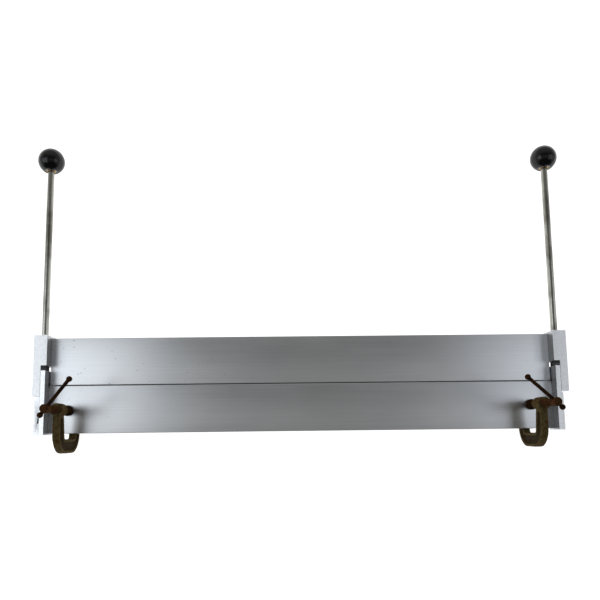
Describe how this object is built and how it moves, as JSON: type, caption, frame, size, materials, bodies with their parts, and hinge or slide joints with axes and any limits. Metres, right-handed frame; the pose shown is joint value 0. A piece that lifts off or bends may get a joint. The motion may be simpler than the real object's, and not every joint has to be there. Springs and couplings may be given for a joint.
{
  "type": "bench sheet metal folder",
  "caption": "Aluminium bench folder for sheet metal: a flat bed and a hinged leaf turned up by lever rods with ball knobs, held by screw clamps.",
  "frame": {"origin": "middle of the bed beam's working face; the fold line is 36.4 mm from it in +Y", "axes": "+X along the beams, +Y from the bed towards the leaf and its levers, +Z out of the working faces"},
  "size_m": [0.82, 0.4762, 0.1341],
  "materials": {
    "bed_bar": "extruded bar, semi-gloss, light wear",
    "leaf_bar": "extruded bar, semi-gloss, small dents and scratches",
    "end_block": "sawn and filed, dull, speckled",
    "end_plate": "sawn and filed, dull",
    "rod_steel": "drawn bar, smooth",
    "pivot_steel": "ground",
    "fixings": "zinc plated, dulled",
    "knob_plastic": "glossy moulded thermoset",
    "insert_brass": "turned",
    "clamp_iron": "old paint over rust, rough",
    "screw_rust": "rusted, matt",
    "pad_rust": "rusted, matt",
    "tommy_rust": "rusted, matt"
  },
  "bodies": {
    "bed": {"bed_beam": "bed_bar", "bed_plate_left": "end_plate", "bed_plate_right": "end_plate", "bed_packer_left": "end_plate", "bed_packer_right": "end_plate", "bed_screws_left": "fixings", "bed_screws_right": "fixings", "pivot_pin_left": "pivot_steel", "pivot_pin_right": "pivot_steel"},
    "leaf": {"leaf_beam": "leaf_bar", "leaf_block_left": "end_block", "leaf_block_right": "end_block", "leaf_screws_left": "fixings", "leaf_screws_right": "fixings", "lever_rod_left": "rod_steel", "lever_rod_right": "rod_steel", "lever_knob_left": "knob_plastic", "lever_knob_right": "knob_plastic", "knob_insert_left": "insert_brass", "knob_insert_right": "insert_brass"},
    "clamp_left": {"clamp_frame_left": "clamp_iron"},
    "pad_left": {"clamp_pad_left": "pad_rust"},
    "screw_left": {"clamp_screw_left": "screw_rust"},
    "tommy_left": {"tommy_bar_left": "tommy_rust"},
    "clamp_right": {"clamp_frame_right": "clamp_iron"},
    "pad_right": {"clamp_pad_right": "pad_rust"},
    "screw_right": {"clamp_screw_right": "screw_rust"},
    "tommy_right": {"tommy_bar_right": "tommy_rust"}
  },
  "joints": [
    {"name": "leaf_hinge", "type": "hinge", "parent": "bed", "child": "leaf", "pos_m": [0, 0.0364, 0], "axis": [1, 0, 0], "range_deg": [0, 90]},
    {"name": "clamp_slide_left", "type": "slide", "parent": "bed", "child": "clamp_left", "axis": [0, -1, 0], "range_m": [0, 0.05]},
    {"name": "pad_travel_left", "type": "slide", "parent": "clamp_left", "child": "pad_left", "axis": [0, 0, 1], "range_m": [0, 0.0125]},
    {"name": "screw_turn_left", "type": "hinge", "parent": "pad_left", "child": "screw_left", "pos_m": [-0.3525, -0.0016, 0], "axis": [0, 0, 1], "range_deg": [0, 1800]},
    {"name": "tommy_slide_left", "type": "slide", "parent": "screw_left", "child": "tommy_left", "axis": [-0.6157, -0.788, 0], "range_m": [0, 0.04]},
    {"name": "clamp_slide_right", "type": "slide", "parent": "bed", "child": "clamp_right", "axis": [0, -1, 0], "range_m": [0, 0.05]},
    {"name": "pad_travel_right", "type": "slide", "parent": "clamp_right", "child": "pad_right", "axis": [0, 0, 1], "range_m": [0, 0.0125]},
    {"name": "screw_turn_right", "type": "hinge", "parent": "pad_right", "child": "screw_right", "pos_m": [0.3485, 0.0004, 0], "axis": [0, 0, 1], "range_deg": [0, 1800]},
    {"name": "tommy_slide_right", "type": "slide", "parent": "screw_right", "child": "tommy_right", "axis": [0.7373, -0.6756, 0], "range_m": [0, 0.04]}
  ],
  "couplings": [
    {"joint": "screw_turn_left", "follows": "pad_travel_left", "rad_per_m": 2513.3},
    {"joint": "screw_turn_right", "follows": "pad_travel_right", "rad_per_m": 2513.3}
  ]
}
